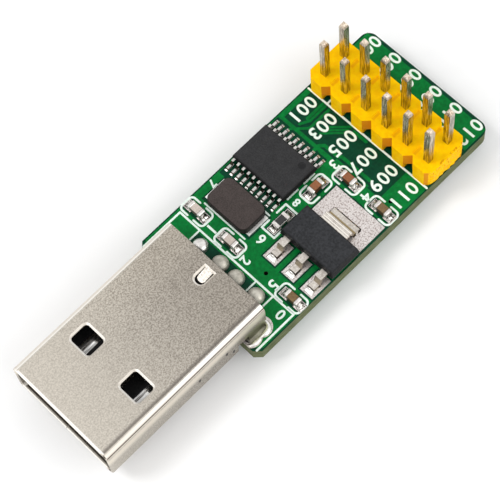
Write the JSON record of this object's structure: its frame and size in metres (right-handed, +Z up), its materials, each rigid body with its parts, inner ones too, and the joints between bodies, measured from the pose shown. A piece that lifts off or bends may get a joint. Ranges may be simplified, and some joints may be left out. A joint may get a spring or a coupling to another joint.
{
  "type": "usb to serial adapter module",
  "caption": "Flat circuit board with a metal plug at one end, a double row of upright square header pins at the other, and a chip, regulator, crystal and small parts between them.",
  "frame": {"origin": "under the middle of the whole object, level with the ends of the header's tails, its lowest points", "axes": "+X from the plug's mouth to the header end, +Y across the board, +Z up out of the side that carries the parts"},
  "size_m": [0.0462, 0.0152, 0.0114],
  "materials": {
    "board": "green solder mask over glass-fibre laminate, with pale printed lines",
    "tinned_copper": "tinned, uneven",
    "plug_steel": "satin plated steel",
    "insulator_plastic": "black moulding",
    "contact_metal": "pale plate",
    "solder": "bright, smooth",
    "header_plastic": "yellow moulding, one end broken off a longer strip",
    "pin_metal": "plated square wire",
    "chip_resin": "moulded resin",
    "regulator_resin": "moulded resin",
    "chip_lead_metal": "tinned",
    "regulator_metal": "tinned",
    "crystal_case": "moulded case",
    "crystal_metal": "tinned",
    "small_part_ends": "tinned",
    "ceramic_brown": "fired ceramic",
    "ceramic_olive": "fired ceramic",
    "ceramic_pale": "fired ceramic",
    "resistor_ceramic": "white ceramic",
    "resistor_black": "black coat"
  },
  "bodies": {
    "root": {"capacitor_1_body": "ceramic_brown", "capacitor_1_ends": "small_part_ends", "capacitor_2_body": "ceramic_brown", "capacitor_2_ends": "small_part_ends", "capacitor_3_body": "ceramic_olive", "capacitor_3_ends": "small_part_ends", "capacitor_4_body": "ceramic_olive", "capacitor_4_ends": "small_part_ends", "capacitor_5_body": "ceramic_pale", "capacitor_5_ends": "small_part_ends", "capacitor_6_body": "ceramic_pale", "capacitor_6_ends": "small_part_ends", "chip_body": "chip_resin", "chip_leads_header_side": "chip_lead_metal", "chip_leads_plug_side": "chip_lead_metal", "circuit_board": "board", "contact_solder": "solder", "crystal_body": "crystal_case", "crystal_terminal_1": "crystal_metal", "crystal_terminal_2": "crystal_metal", "header_housing": "header_plastic", "header_pin_01": "pin_metal", "header_pin_02": "pin_metal", "header_pin_03": "pin_metal", "header_pin_04": "pin_metal", "header_pin_05": "pin_metal", "header_pin_06": "pin_metal", "header_pin_07": "pin_metal", "header_pin_08": "pin_metal", "header_pin_09": "pin_metal", "header_pin_10": "pin_metal", "header_pin_11": "pin_metal", "header_pin_12": "pin_metal", "header_solder": "solder", "plug_contact_1": "contact_metal", "plug_contact_2": "contact_metal", "plug_contact_3": "contact_metal", "plug_contact_4": "contact_metal", "plug_insulator": "insulator_plastic", "plug_shell": "plug_steel", "regulator_body": "regulator_resin", "regulator_lead_1": "regulator_metal", "regulator_lead_2": "regulator_metal", "regulator_tab": "regulator_metal", "resistor_body": "resistor_ceramic", "resistor_coat": "resistor_black", "resistor_ends": "small_part_ends", "shell_solder": "solder", "small_part_solder": "solder", "tinned_pads": "tinned_copper"}
  },
  "joints": []
}
